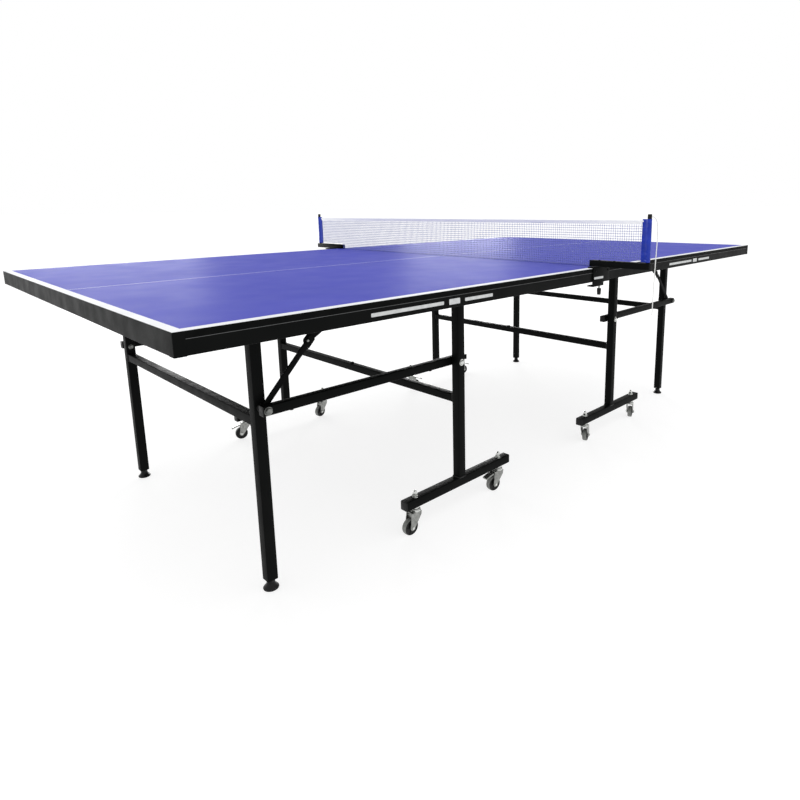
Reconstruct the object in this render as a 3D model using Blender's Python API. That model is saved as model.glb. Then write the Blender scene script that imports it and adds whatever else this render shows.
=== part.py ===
"""Roll-away table-tennis table in two folding halves, with its clamp-on net set.

Metres, +Z up, floor at Z = 0.  X runs along the table with the net across X = 0; half A is on -X and
half B on +X.  Y runs across it; the near long side is -Y and the far one +Y.
Most parts are modelled in one quarter, where x is the distance from the net line and y the distance
from the long centre line, and are then mirrored to their own half and side.
"""
import math

import bmesh
import bpy
from mathutils import Matrix, Vector

# ------------------------------------------------------------------ driving dimensions
TABLE_LENGTH = 2.740
TABLE_WIDTH = 1.525
TABLE_HEIGHT = 0.760
NET_HEIGHT = 0.1525
NET_OVERHANG = 0.1525

GAP = 0.0003                 # clearance between pieces that touch
WALL = 0.0015                # wall of the steel tubes and channels
SUNK = WALL / 2              # how far a joined piece reaches into a wall
TUBE_CAP = 0.008             # solid end of an upright tube
LUG_CLEAR = 0.0007           # between an upright and the lug beside it
HEAD_CLEAR = 0.0005          # under a bolt's head
HALF_GAP = 0.0045            # from the net line to each half's edge
BOARD = 0.015                # playing board thickness
APRON_WIDTH = 0.020
APRON_DEPTH = 0.030
RAIL = 0.025                 # cross rails under the board
TUBE = 0.029                 # legs, wheel posts and wheel bases
BAR = 0.025                  # crossbars between the legs and between the posts

PIVOT_Z = 0.700              # tilt pivots, just under the apron
LINK_Z = 0.490               # lower pivots of the folding parallelogram
POST_X = 0.465               # wheel posts, from the net line
POST_Y = 0.540
LEG_X = 1.089                # end legs
LEG_Y = 0.467
LEG_FOOT_Z = 0.027
TUBE_TOP_Z = PIVOT_Z + 0.012
POST_BAR_Z = 0.3715
LEG_BAR_Z = 0.452
BASE_Z = 0.084               # underside of the wheel bases
FLANGE_Z = 0.0785            # underside of the stems' flanges
BASE_HALF = 0.233

LINK_HEIGHT = 0.025
LINK_INNER_Y = 0.4995
LINK_OUTER_Y = 0.5215
LINK_TAIL = 0.030            # past the wheel post bolt
LINK_NOSE = 0.012            # past the leg bolt
PIN_R = 0.005
HOLE_R = 0.0053
LOOSE_HOLE_R = 0.0060
HEAD_R = 0.010
PIVOT_HEAD_R = 0.009
NUT_R = 0.008
HEAD_DEPTH = 0.007
LUG_R = 0.011
LUG = 0.004                  # thickness of lugs and clamp plates

BRACE_ANGLE = math.radians(47)
BRACE_REACH = 0.195          # from the leg bolt to the catch pin
BRACE_INNER_Y = 0.4930
BRACE_OUTER_Y = 0.4975
STAY_INNER_Y = 0.4885
STAY_OUTER_Y = 0.4925
CATCH_PIN_R = 0.0035

CASTER_OFFSET = 0.190        # caster stems, either side of the wheel post
CASTER_TRAIL = 0.022
WHEEL_R = 0.025
WHEEL_WIDTH = 0.018
AXLE_R = 0.003

NET_POST_Y = TABLE_WIDTH / 2 + NET_OVERHANG
NET_TOP_Z = TABLE_HEIGHT + NET_HEIGHT
NET_CORD_R = 0.0015

BOARD_Z = TABLE_HEIGHT - BOARD
APRON_Z = BOARD_Z - APRON_DEPTH
EDGE_X = TABLE_LENGTH / 2
EDGE_Y = TABLE_WIDTH / 2

HALVES = (("a", -1), ("b", 1))
SIDES = (("near", -1), ("far", 1))

# half, side, place on the base, direction the wheel trails in, has a brake
CASTERS = (
    ("a", "near", "outer", 178, False),
    ("a", "near", "inner", 172, True),
    ("a", "far", "outer", 160, True),
    ("a", "far", "inner", 192, False),
    ("b", "near", "inner", 20, False),
    ("b", "near", "outer", 22, False),
    ("b", "far", "inner", 330, True),
    ("b", "far", "outer", 350, True),
)

# free tail of the net's tension cord, from the near post's cap down
CORD_ROUTE = (
    (0.0000, -0.9219, 0.9240), (0.0006, -0.9262, 0.9236), (0.0026, -0.9302, 0.9208),
    (0.0056, -0.9333, 0.9150), (0.0084, -0.9353, 0.9070), (0.0104, -0.9365, 0.8970),
    (0.0116, -0.9370, 0.8850), (0.0120, -0.9371, 0.8700), (0.0116, -0.9370, 0.8500),
    (0.0106, -0.9368, 0.8250), (0.0094, -0.9364, 0.7950), (0.0084, -0.9360, 0.7650),
    (0.0076, -0.9357, 0.7350), (0.0070, -0.9354, 0.7050), (0.0065, -0.9352, 0.6750),
    (0.0062, -0.9350, 0.6450), (0.0060, -0.9349, 0.6170),
)


# ------------------------------------------------------------------ building blocks
def add_object(name, bm):
    """Link a closed bmesh as an object with its faces pointing out."""
    bmesh.ops.recalc_face_normals(bm, faces=bm.faces[:])
    mesh = bpy.data.meshes.new(name)
    bm.to_mesh(mesh)
    bm.free()
    obj = bpy.data.objects.new(name, mesh)
    bpy.context.scene.collection.objects.link(obj)
    return obj


def box(x, y, z):
    """A block between the (low, high) pairs x, y and z."""
    bm = bmesh.new()
    size = Matrix.Diagonal((x[1] - x[0], y[1] - y[0], z[1] - z[0], 1))
    centre = Matrix.Translation(((x[0] + x[1]) / 2, (y[0] + y[1]) / 2, (z[0] + z[1]) / 2))
    bmesh.ops.create_cube(bm, size=1, matrix=centre @ size)
    return add_object("box", bm)


def prism(outline, low, high):
    """Extrude an outline of (x, z) points along Y."""
    bm = bmesh.new()
    ends = [[bm.verts.new((x, y, z)) for x, z in outline] for y in (low, high)]
    bm.faces.new(ends[0])
    bm.faces.new(list(reversed(ends[1])))
    count = len(outline)
    for i in range(count):
        j = (i + 1) % count
        bm.faces.new((ends[0][j], ends[0][i], ends[1][i], ends[1][j]))
    return add_object("prism", bm)


def turned(profile, steps, centre=(0, 0, 0), axis="Z", ring=False):
    """Turn (radius, height) points round an axis; a ring also joins the last point to the first."""
    bm = bmesh.new()
    rings = []
    for radius, height in profile:
        if radius == 0:
            rings.append([bm.verts.new((0, 0, height))])
            continue
        angles = [2 * math.pi * i / steps for i in range(steps)]
        rings.append([bm.verts.new((radius * math.cos(a), radius * math.sin(a), height)) for a in angles])
    pairs = list(zip(rings, rings[1:]))
    if ring:
        pairs.append((rings[-1], rings[0]))
    for low, high in pairs:
        for i in range(steps):
            j = (i + 1) % steps
            corners = [low[i % len(low)], low[j % len(low)], high[j % len(high)], high[i % len(high)]]
            bm.faces.new(list(dict.fromkeys(corners)))
    turn = {"Z": Matrix.Identity(4), "Y": Matrix.Rotation(math.radians(-90), 4, "X")}[axis]
    bmesh.ops.transform(bm, matrix=Matrix.Translation(centre) @ turn, verts=bm.verts)
    return add_object("turned", bm)


def rod(radius, low, high, centre, axis="Y", steps=12):
    """A plain cylinder from low to high along an axis; centre gives its other two coordinates."""
    place = (centre[0], 0, centre[1]) if axis == "Y" else (centre[0], centre[1], 0)
    return turned([(0, low), (radius, low), (radius, high), (0, high)], steps, place, axis)


def combine(target, tools, operation):
    """Apply exact Booleans to the target with each tool in turn, and remove the tools."""
    for tool in tools:
        modifier = target.modifiers.new(operation, "BOOLEAN")
        modifier.operation = operation
        modifier.object = tool
        evaluated = target.evaluated_get(bpy.context.evaluated_depsgraph_get())
        mesh = bpy.data.meshes.new_from_object(evaluated)
        target.modifiers.clear()
        target.data = mesh
        bpy.data.objects.remove(tool)
    return target


def union(target, *tools):
    return combine(target, tools, "UNION")


def cut(target, *tools):
    return combine(target, tools, "DIFFERENCE")


def hollow_bar(x, y, z, along, capped=0.0):
    """A square steel tube: the bore runs through along the given axis, or stops short of the high end."""
    spans = {"X": x, "Y": y, "Z": z}
    bore = {key: (low + WALL, high - WALL) for key, (low, high) in spans.items()}
    low, high = spans[along]
    bore[along] = (low - WALL, high - capped if capped else high + WALL)
    return cut(box(x, y, z), box(bore["X"], bore["Y"], bore["Z"]))


def arc(centre, radius, start, end, steps):
    """Points on a circular arc between two angles in degrees."""
    angles = [math.radians(start + (end - start) * i / steps) for i in range(steps + 1)]
    return [(centre[0] + radius * math.cos(a), centre[1] + radius * math.sin(a)) for a in angles]


def make_material(name, colour, roughness, metallic=0.0):
    material = bpy.data.materials.new(name)
    material.use_nodes = True
    shader = material.node_tree.nodes["Principled BSDF"]
    shader.inputs["Base Color"].default_value = (*colour, 1)
    shader.inputs["Roughness"].default_value = roughness
    shader.inputs["Metallic"].default_value = metallic
    return material


def finish(obj, name, finish_name, origin, mirror=(1, 1)):
    """Mirror the part to its half and side, set its origin, name it and give it its own material."""
    flip = Matrix.Diagonal((mirror[0], mirror[1], 1, 1))
    place = Vector((origin[0] * mirror[0], origin[1] * mirror[1], origin[2]))
    obj.data.transform(Matrix.Translation(-place) @ flip)
    bm = bmesh.new()
    bm.from_mesh(obj.data)
    bmesh.ops.recalc_face_normals(bm, faces=bm.faces[:])
    bm.to_mesh(obj.data)
    bm.free()
    obj.location = place
    dress(obj, name, finish_name)
    return obj


def dress(obj, name, finish_name):
    """Name an object, shade its round faces smooth and give it a material of its own."""
    obj.name = name
    obj.data.name = name
    obj.data.shade_smooth()
    obj.data.set_sharp_from_angle(angle=math.radians(35))
    obj.data.materials.clear()
    obj.data.materials.append(make_material(name, *FINISHES[finish_name]))


# colour, roughness, metallic
FINISHES = {
    "playing_blue": ((0.115, 0.095, 0.56), 0.35),
    "black_steel": ((0.012, 0.013, 0.013), 0.42),
    "black_plastic": ((0.010, 0.010, 0.010), 0.50),
    "zinc": ((0.55, 0.56, 0.55), 0.32, 1.0),
    "wheel_grey": ((0.36, 0.37, 0.35), 0.60),
    "net_white": ((0.80, 0.80, 0.84), 0.80),
    "cord_white": ((0.82, 0.82, 0.80), 0.75),
}


# ------------------------------------------------------------------ tops
def build_board(half, s):
    board = box((HALF_GAP, EDGE_X), (-EDGE_Y, EDGE_Y), (BOARD_Z, TABLE_HEIGHT))
    finish(board, "board_" + half, "playing_blue", (POST_X, 0, PIVOT_Z), (s, 1))


def apron_ring():
    """Channel of folded sheet round the half, open upwards under the board."""
    top = BOARD_Z - GAP
    section = [
        (0, APRON_Z), (0, top), (WALL, top), (WALL, APRON_Z + WALL),
        (APRON_WIDTH - WALL, APRON_Z + WALL), (APRON_WIDTH - WALL, top),
        (APRON_WIDTH, top), (APRON_WIDTH, APRON_Z),
    ]
    corners = ((HALF_GAP, -EDGE_Y, 1, 1), (EDGE_X, -EDGE_Y, -1, 1),
               (EDGE_X, EDGE_Y, -1, -1), (HALF_GAP, EDGE_Y, 1, -1))
    bm = bmesh.new()
    loops = []
    for x, y, dx, dy in corners:
        loops.append([bm.verts.new((x + dx * inset, y + dy * inset, z)) for inset, z in section])
    for k, loop in enumerate(loops):
        following = loops[(k + 1) % len(loops)]
        for i in range(len(section)):
            j = (i + 1) % len(section)
            bm.faces.new((loop[i], loop[j], following[j], following[i]))
    return add_object("ring", bm)


def cross_rail(x):
    """Channel across the half, open upwards, let into the inner walls of the ring."""
    top = BOARD_Z - GAP
    low = BOARD_Z - RAIL
    outline = [
        (x, low), (x + RAIL, low), (x + RAIL, top), (x + RAIL - WALL, top),
        (x + RAIL - WALL, low + WALL), (x + WALL, low + WALL), (x + WALL, top), (x, top),
    ]
    reach = EDGE_Y - APRON_WIDTH + SUNK
    return prism(outline, -reach, reach)


def pivot_lug(x, low, high):
    """Plate under a cross rail, with a hole round the tilt pivot at x."""
    top = BOARD_Z - RAIL + SUNK
    outline = [(x + 0.048, top), (x - 0.006, top)]
    outline += arc((x, PIVOT_Z), LUG_R, 150, 300, 5)
    outline += [(x + 0.048, PIVOT_Z + 0.010)]
    return cut(prism(outline, low, high), rod(HOLE_R, low - LUG, high + LUG, (x, PIVOT_Z)))


def catch_point():
    """Where the brace's hook holds the stay's pin."""
    offset = 0.0025
    along = Vector((-math.cos(BRACE_ANGLE), math.sin(BRACE_ANGLE)))
    across = Vector((math.sin(BRACE_ANGLE), math.cos(BRACE_ANGLE)))
    return Vector((LEG_X, LINK_Z)) + along * BRACE_REACH + across * offset


def brace_stay(rail_x):
    """Plate hanging from the middle rail, with the pin that the brace hooks on."""
    catch = catch_point()
    top = BOARD_Z - RAIL + SUNK
    outline = [(rail_x + RAIL - 0.001, top), (rail_x + 0.001, top), (rail_x + 0.001, 0.690), (0.900, 0.657)]
    outline += arc(catch, 0.0095, 240, 420, 5)
    outline += [(0.921, 0.684)]
    plate = prism(outline, STAY_INNER_Y, STAY_OUTER_Y)
    return union(plate, rod(CATCH_PIN_R, STAY_INNER_Y + WALL, BRACE_OUTER_Y + 0.001, catch))


def build_apron(half, s):
    """Steel frame under the board: ring, three cross rails, and the lugs for posts, legs and braces."""
    hinge_rail, stay_rail, leg_rail = POST_X + 0.025, 0.890, LEG_X + 0.025
    apron = union(apron_ring(), cross_rail(hinge_rail), cross_rail(stay_rail), cross_rail(leg_rail))
    post_face = POST_Y + TUBE / 2
    leg_face = LEG_Y - TUBE / 2
    for _, t in SIDES:
        post_lug = pivot_lug(POST_X, post_face + LUG_CLEAR, post_face + LUG_CLEAR + LUG)
        leg_lug = pivot_lug(LEG_X, leg_face - LUG_CLEAR - LUG, leg_face - LUG_CLEAR)
        for lug in (post_lug, leg_lug, brace_stay(stay_rail)):
            lug.data.transform(Matrix.Diagonal((1, t, 1, 1)))
            if t < 0:
                lug.data.flip_normals()
            union(apron, lug)
    finish(apron, "apron_" + half, "black_steel", (POST_X, 0, PIVOT_Z), (s, 1))


# ------------------------------------------------------------------ wheel frames
def build_wheel_post(half, s, side, t):
    """Square post with the tilt pivot at its top and the link bolt part way up."""
    x = (POST_X - TUBE / 2, POST_X + TUBE / 2)
    y = (POST_Y - TUBE / 2, POST_Y + TUBE / 2)
    post = hollow_bar(x, y, (BASE_Z + TUBE + GAP, TUBE_TOP_Z), "Z", capped=TUBE_CAP)
    lug_end = y[1] + LUG_CLEAR + LUG + HEAD_CLEAR
    nut_end = LINK_INNER_Y - HEAD_CLEAR
    union(
        post,
        rod(PIN_R, y[1] - SUNK, lug_end + SUNK, (POST_X, PIVOT_Z)),
        rod(PIVOT_HEAD_R, lug_end, lug_end + HEAD_DEPTH, (POST_X, PIVOT_Z)),
        rod(HEAD_R, y[1] - SUNK, y[1] + HEAD_DEPTH, (POST_X, LINK_Z)),
        rod(PIN_R, nut_end - SUNK, y[0] + SUNK, (POST_X, LINK_Z)),
        rod(NUT_R, nut_end - HEAD_DEPTH, nut_end, (POST_X, LINK_Z)),
    )
    finish(post, "wheel_post_%s_%s" % (side, half), "black_steel", (POST_X, POST_Y, BASE_Z + TUBE), (s, t))


def build_wheel_crossbar(half, s):
    reach = POST_Y - TUBE / 2 - GAP
    bar = hollow_bar((POST_X - BAR / 2, POST_X + BAR / 2), (-reach, reach),
                     (POST_BAR_Z - BAR / 2, POST_BAR_Z + BAR / 2), "Y")
    finish(bar, "wheel_crossbar_" + half, "black_steel", (POST_X, 0, POST_BAR_Z), (s, 1))


def caster_stem(x):
    """Flange below the base tube, and washer, stud and acorn nut above it."""
    top = BASE_Z + TUBE
    below = turned([(0, FLANGE_Z), (0.0110, FLANGE_Z), (0.0125, FLANGE_Z + 0.0025),
                    (0.0125, BASE_Z + SUNK), (0, BASE_Z + SUNK)], 12, (x, POST_Y, 0))
    above = turned([(0, top - SUNK), (0.0095, top - SUNK), (0.0095, top + 0.0015), (0.0045, top + 0.0015),
                    (0.0045, top + 0.0050), (0.0075, top + 0.0050), (0.0078, top + 0.0130),
                    (0.0055, top + 0.0185), (0, top + 0.0210)], 10, (x, POST_Y, 0))
    return below, above


def build_wheel_base(half, s, side, t):
    """Tube along the floor that the post stands on, with the stems of its two casters."""
    base = hollow_bar((POST_X - BASE_HALF, POST_X + BASE_HALF),
                      (POST_Y - TUBE / 2, POST_Y + TUBE / 2), (BASE_Z, BASE_Z + TUBE), "X")
    for offset in (-CASTER_OFFSET, CASTER_OFFSET):
        union(base, *caster_stem(POST_X + offset))
    finish(base, "wheel_base_%s_%s" % (side, half), "black_steel", (POST_X, POST_Y, BASE_Z), (s, t))


# ------------------------------------------------------------------ casters
SWIVEL_TOP = FLANGE_Z - GAP
CROWN_TOP = SWIVEL_TOP - 0.008
FORK_GAP = 0.0115            # half the space between the fork's legs
FORK_PLATE = 0.0025
LEVER_PIVOT = (0.0175, 0.0610)


def build_fork(name, stem, direction):
    """Swivelling fork: race, crown, two legs and the axle, modelled trailing along +X of its own frame."""
    axle = (CASTER_TRAIL, WHEEL_R)
    leg_top = CROWN_TOP - 0.0004
    outline = [(-0.0130, leg_top), (-0.0115, CROWN_TOP - 0.012)]
    outline += arc(axle, 0.0085, 200, 360, 4)
    outline += [(0.0270, 0.0480), (0.0235, leg_top)]
    outer = FORK_GAP + FORK_PLATE
    fork = turned([(0, CROWN_TOP - 0.001), (0.0140, CROWN_TOP - 0.001), (0.0155, SWIVEL_TOP - 0.003),
                   (0.0125, SWIVEL_TOP), (0, SWIVEL_TOP)], 12)
    union(
        fork,
        box((-0.0122, 0.0230), (0.0004 - outer, outer - 0.0004), (CROWN_TOP - FORK_PLATE, CROWN_TOP)),
        prism(outline, FORK_GAP, outer),
        prism(outline, -outer, -FORK_GAP),
        rod(AXLE_R, -outer + 0.001, outer - 0.001, axle, steps=10),
        rod(0.0052, outer - 0.0005, outer + 0.0030, axle, steps=8),
        rod(0.0052, -outer - 0.0030, -outer + 0.0005, axle, steps=8),
        rod(0.0016, -outer + 0.0005, outer - 0.0005, LEVER_PIVOT, steps=6),
    )
    dress(fork, name, "zinc")
    fork.location = (*stem, 0)
    fork.rotation_euler = (0, 0, math.radians(direction))
    return fork


def build_wheel(name, fork):
    """Crowned tread on a dished hub, bored for the axle."""
    half = WHEEL_WIDTH / 2
    bore = AXLE_R + 0.0004
    side = [(bore, half + 0.0010), (0.0070, half + 0.0010), (0.0195, half), (0.0230, half),
            (WHEEL_R, half - 0.0040)]
    profile = [(r, -h) for r, h in side] + [(r, h) for r, h in reversed(side)]
    wheel = turned(profile, 20, axis="Y", ring=True)
    dress(wheel, name, "wheel_grey")
    wheel.parent = fork
    wheel.location = (CASTER_TRAIL, 0, WHEEL_R)


def build_brake_lever(name, fork):
    """Foot pedal over the wheel, turning on the fork's cross pin."""
    half = FORK_GAP - 0.0006
    outline = [(-0.0040, -0.0008), (-0.0010, 0.0038), (0.0120, 0.0022), (0.0300, -0.0040),
               (0.0400, -0.0085), (0.0392, -0.0108), (0.0290, -0.0066), (0.0110, -0.0012),
               (0.0030, -0.0034), (-0.0022, -0.0034)]
    lever = cut(prism(outline, -half, half), rod(0.0020, -half - 0.002, half + 0.002, (0, 0), steps=8))
    dress(lever, name, "zinc")
    lever.parent = fork
    lever.location = (LEVER_PIVOT[0], 0, LEVER_PIVOT[1])


def build_caster(half, side, place, direction, braked):
    s, t = dict(HALVES)[half], dict(SIDES)[side]
    offset = CASTER_OFFSET if place == "outer" else -CASTER_OFFSET
    tag = "%s_%s_%s" % (side, place, half)
    fork = build_fork("caster_fork_" + tag, (s * (POST_X + offset), t * POST_Y), direction)
    build_wheel("caster_wheel_" + tag, fork)
    if braked:
        build_brake_lever("brake_lever_" + tag, fork)


# ------------------------------------------------------------------ end legs, links and braces
def build_end_leg(half, s, side, t):
    """Square leg: hinge pin inside its top, long link bolt through it, threaded plug at its foot."""
    x = (LEG_X - TUBE / 2, LEG_X + TUBE / 2)
    y = (LEG_Y - TUBE / 2, LEG_Y + TUBE / 2)
    plug = 0.012
    bore = box((x[0] + WALL, x[1] - WALL), (y[0] + WALL, y[1] - WALL),
               (LEG_FOOT_Z + plug, TUBE_TOP_Z - TUBE_CAP))
    leg = cut(box(x, y, (LEG_FOOT_Z, TUBE_TOP_Z)), bore,
              rod(0.0044, LEG_FOOT_Z - 0.002, LEG_FOOT_Z + plug + 0.002, (LEG_X, LEG_Y), "Z"))
    lug_end = y[0] - LUG_CLEAR - LUG - HEAD_CLEAR
    bolt_end = LINK_OUTER_Y + HEAD_CLEAR
    union(
        leg,
        rod(PIN_R, lug_end - SUNK, y[0] + SUNK, (LEG_X, PIVOT_Z)),
        rod(PIVOT_HEAD_R, lug_end - HEAD_DEPTH, lug_end, (LEG_X, PIVOT_Z)),
        rod(NUT_R, y[0] - 0.0050, y[0] + SUNK, (LEG_X, LINK_Z)),
        rod(PIN_R, y[1] - SUNK, bolt_end + SUNK, (LEG_X, LINK_Z)),
        rod(HEAD_R, bolt_end, bolt_end + HEAD_DEPTH, (LEG_X, LINK_Z)),
    )
    finish(leg, "end_leg_%s_%s" % (side, half), "black_steel", (LEG_X, LEG_Y, PIVOT_Z), (s, t))


def build_end_crossbar(half, s):
    reach = LEG_Y - TUBE / 2 - GAP
    bar = hollow_bar((LEG_X - BAR / 2, LEG_X + BAR / 2), (-reach, reach),
                     (LEG_BAR_Z - BAR / 2, LEG_BAR_Z + BAR / 2), "Y")
    finish(bar, "end_crossbar_" + half, "black_steel", (LEG_X, 0, PIVOT_Z), (s, 1))


def build_foot(half, s, side, t):
    """Screw-in levelling foot with a bell-shaped pad."""
    neck = LEG_FOOT_Z - 0.0010   # under the leg's plug
    foot = turned([(0, 0), (0.0190, 0), (0.0200, 0.0040), (0.0160, 0.0100), (0.0110, 0.0190), (0.0100, neck),
                   (0.0040, neck), (0.0040, 0.0700), (0, 0.0700)], 16, (LEG_X, LEG_Y, 0))
    finish(foot, "foot_%s_%s" % (side, half), "black_plastic", (LEG_X, LEG_Y, 0), (s, t))


def build_link(half, s, side, t):
    """Bar from the wheel post to the end leg, the lower side of the folding parallelogram."""
    link = hollow_bar((POST_X - LINK_TAIL, LEG_X + LINK_NOSE), (LINK_INNER_Y, LINK_OUTER_Y),
                      (LINK_Z - LINK_HEIGHT / 2, LINK_Z + LINK_HEIGHT / 2), "X")
    low, high = LINK_INNER_Y - 0.002, LINK_OUTER_Y + 0.002
    cut(link, rod(HOLE_R, low, high, (POST_X, LINK_Z)), rod(LOOSE_HOLE_R, low, high, (LEG_X, LINK_Z)))
    bottom = LINK_Z - LINK_HEIGHT / 2
    for x in (LEG_X - 0.066, POST_X + 0.092):
        union(link, box((x - 0.006, x + 0.006), (LINK_INNER_Y + 0.005, LINK_OUTER_Y - 0.005),
                        (bottom - 0.004, bottom + SUNK)))
    finish(link, "link_%s_%s" % (side, half), "black_steel", (POST_X, POST_Y, LINK_Z), (s, t))


def build_brace(half, s, side, t):
    """Flat strut from the leg bolt, with a slanted hook that catches the stay's pin under the top."""
    half_width = 0.0075
    catch_r = 0.0055
    slant = Vector((-0.489, 0.872))              # the way the pin leaves the hook, in (along, across)
    normal = Vector((slant.y, -slant.x))
    seat = Vector((BRACE_REACH, 0.0025))
    start = math.degrees(math.atan2(-normal.y, -normal.x))
    seat_arc = arc(seat, catch_r, start, start + 180, 6)
    left = Vector(seat_arc[0])
    right = Vector(seat_arc[-1])
    mouth_left = left + slant * ((half_width - left.y) / slant.y)
    mouth_right = right + slant * ((half_width - right.y) / slant.y)
    flat = [(0.172, -half_width), (0.183, -0.0125), (0.208, -0.0125), (0.212, -0.0085), (0.212, 0.0045),
            (0.209, half_width), tuple(mouth_right)]
    flat += list(reversed(seat_arc))
    flat += [tuple(mouth_left)]
    flat += arc((0, 0), 0.0100, 48.6, 311.4, 8)
    along = Vector((-math.cos(BRACE_ANGLE), math.sin(BRACE_ANGLE)))
    across = Vector((math.sin(BRACE_ANGLE), math.cos(BRACE_ANGLE)))
    bolt = Vector((LEG_X, LINK_Z))
    outline = [tuple(bolt + along * u + across * v) for u, v in flat]
    brace = cut(prism(outline, BRACE_INNER_Y, BRACE_OUTER_Y),
                rod(HOLE_R, BRACE_INNER_Y - 0.002, BRACE_OUTER_Y + 0.002, (LEG_X, LINK_Z)))
    finish(brace, "brace_%s_%s" % (side, half), "black_steel", (LEG_X, LEG_Y, LINK_Z), (s, t))


# ------------------------------------------------------------------ net set
CLAMP_X = (-0.070, 0.030)    # the plates, along the table; the lower jaw stays under half A
JAW_X = (-0.070, -0.006)
PLATE_REACH = 0.018          # over the board's edge, and back under the apron
SCREW = (-0.0125, 0.7545)
ARM_HALF = 0.0125
ARM_TOP = TABLE_HEIGHT + GAP + 0.020
JAW_Z = 0.700


def build_clamp(side, t):
    """C-shaped bracket gripping the long edge, with the arm that carries the net post."""
    low = TABLE_HEIGHT + GAP
    web = (EDGE_Y + GAP, EDGE_Y + GAP + LUG)
    clamp = box((-ARM_HALF, ARM_HALF), (EDGE_Y - 0.0475, NET_POST_Y + 0.010), (low, ARM_TOP))
    union(
        clamp,
        box(CLAMP_X, (EDGE_Y - PLATE_REACH, web[1]), (low, low + LUG)),
        box(CLAMP_X, web, (JAW_Z + 0.012, low + LUG / 2)),
        box(JAW_X, web, (JAW_Z, JAW_Z + 0.014)),
        box(JAW_X, (EDGE_Y - PLATE_REACH, web[0] + LUG / 2), (JAW_Z, JAW_Z + LUG)),
    )
    cut(clamp, rod(0.0034, JAW_Z - LUG, JAW_Z + 2 * LUG, SCREW, "Z"))
    finish(clamp, "net_clamp_" + side, "black_steel", (0, NET_POST_Y, ARM_TOP), (1, t))


def build_clamp_screw(side, t):
    """Thumb screw: fluted knob, thread and pressure pad."""
    pad_top = APRON_Z - GAP
    screw = turned([(0, 0.6680), (0.0060, 0.6680), (0.0070, 0.6860), (0.0055, 0.6900),
                    (0.0030, 0.6900), (0.0030, pad_top - 0.0030), (0.0060, pad_top - 0.0030),
                    (0.0060, pad_top), (0, pad_top)], 12, (*SCREW, 0))
    finish(screw, "clamp_screw_" + side, "black_plastic", (*SCREW, APRON_Z), (1, t))


def build_net_post(side, t):
    """Round post standing on the clamp's arm, with its black cap."""
    post = turned([(0, ARM_TOP + GAP), (0.0060, ARM_TOP + GAP), (0.0060, 0.9155), (0.0066, 0.9155),
                   (0.0066, 0.9312), (0, 0.9312)], 12, (0, NET_POST_Y, 0))
    finish(post, "net_post_" + side, "black_plastic", (0, NET_POST_Y, ARM_TOP), (1, t))


def build_net():
    reach = NET_POST_Y - 0.0064
    net = box((-0.0010, 0.0010), (-reach, reach), (ARM_TOP + 0.0008, NET_TOP_Z))
    lower = EDGE_Y - 0.0485
    union(net, box((-0.0010, 0.0010), (-lower, lower), (TABLE_HEIGHT + 0.002, ARM_TOP + 0.002)))
    finish(net, "net", "net_white", (0, 0, TABLE_HEIGHT))


def smooth_route(points, count):
    """Evenly spaced points on a Catmull-Rom curve through the route's own points."""
    vectors = [Vector(p) for p in points]
    padded = [2 * vectors[0] - vectors[1]] + vectors + [2 * vectors[-1] - vectors[-2]]
    fine = []
    for k in range(len(vectors) - 1):
        p0, p1, p2, p3 = padded[k:k + 4]
        for i in range(20):
            u = i / 20
            fine.append(0.5 * (2 * p1 + (p2 - p0) * u + (2 * p0 - 5 * p1 + 4 * p2 - p3) * u ** 2
                               + (3 * p1 - p0 - 3 * p2 + p3) * u ** 3))
    fine.append(vectors[-1])
    lengths = [0.0]
    for a, b in zip(fine, fine[1:]):
        lengths.append(lengths[-1] + (b - a).length)
    even = []
    k = 0
    for i in range(count):
        target = lengths[-1] * i / (count - 1)
        while k < len(fine) - 2 and lengths[k + 1] < target:
            k += 1
        share = (target - lengths[k]) / (lengths[k + 1] - lengths[k])
        even.append(fine[k].lerp(fine[k + 1], min(share, 1.0)))
    return even


def build_net_cord():
    """Free tail of the tension cord, hanging from the near post's cap."""
    points = smooth_route(CORD_ROUTE, 40)
    curve = bpy.data.curves.new("net_cord", "CURVE")
    curve.dimensions = "3D"
    curve.bevel_depth = NET_CORD_R
    curve.bevel_resolution = 2
    curve.use_fill_caps = True
    spline = curve.splines.new("POLY")
    spline.points.add(len(points) - 1)
    for point, position in zip(spline.points, points):
        point.co = (*position, 1)
    cord = bpy.data.objects.new("net_cord", curve)
    bpy.context.scene.collection.objects.link(cord)
    curve.materials.append(make_material("net_cord", *FINISHES["cord_white"]))


# ------------------------------------------------------------------ assembly
def main():
    for obj in list(bpy.data.objects):
        bpy.data.objects.remove(obj)
    for half, s in HALVES:
        build_board(half, s)
        build_apron(half, s)
        build_wheel_crossbar(half, s)
        build_end_crossbar(half, s)
        for side, t in SIDES:
            build_wheel_post(half, s, side, t)
            build_wheel_base(half, s, side, t)
            build_end_leg(half, s, side, t)
            build_foot(half, s, side, t)
            build_link(half, s, side, t)
            build_brace(half, s, side, t)
    for half, side, place, direction, braked in CASTERS:
        build_caster(half, side, place, direction, braked)
    for side, t in SIDES:
        build_clamp(side, t)
        build_clamp_screw(side, t)
        build_net_post(side, t)
    build_net()
    build_net_cord()


main()
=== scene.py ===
"""Looks of the roll-away table-tennis table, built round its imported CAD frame.

Most pieces are made in one quarter of the table, where x is the distance from the net line and y the
distance from the long centre line, and are mirrored to their half (a, b) and side (near, far).
"""
import math

import bmesh
import bpy
from mathutils import Matrix, Vector, noise


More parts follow.
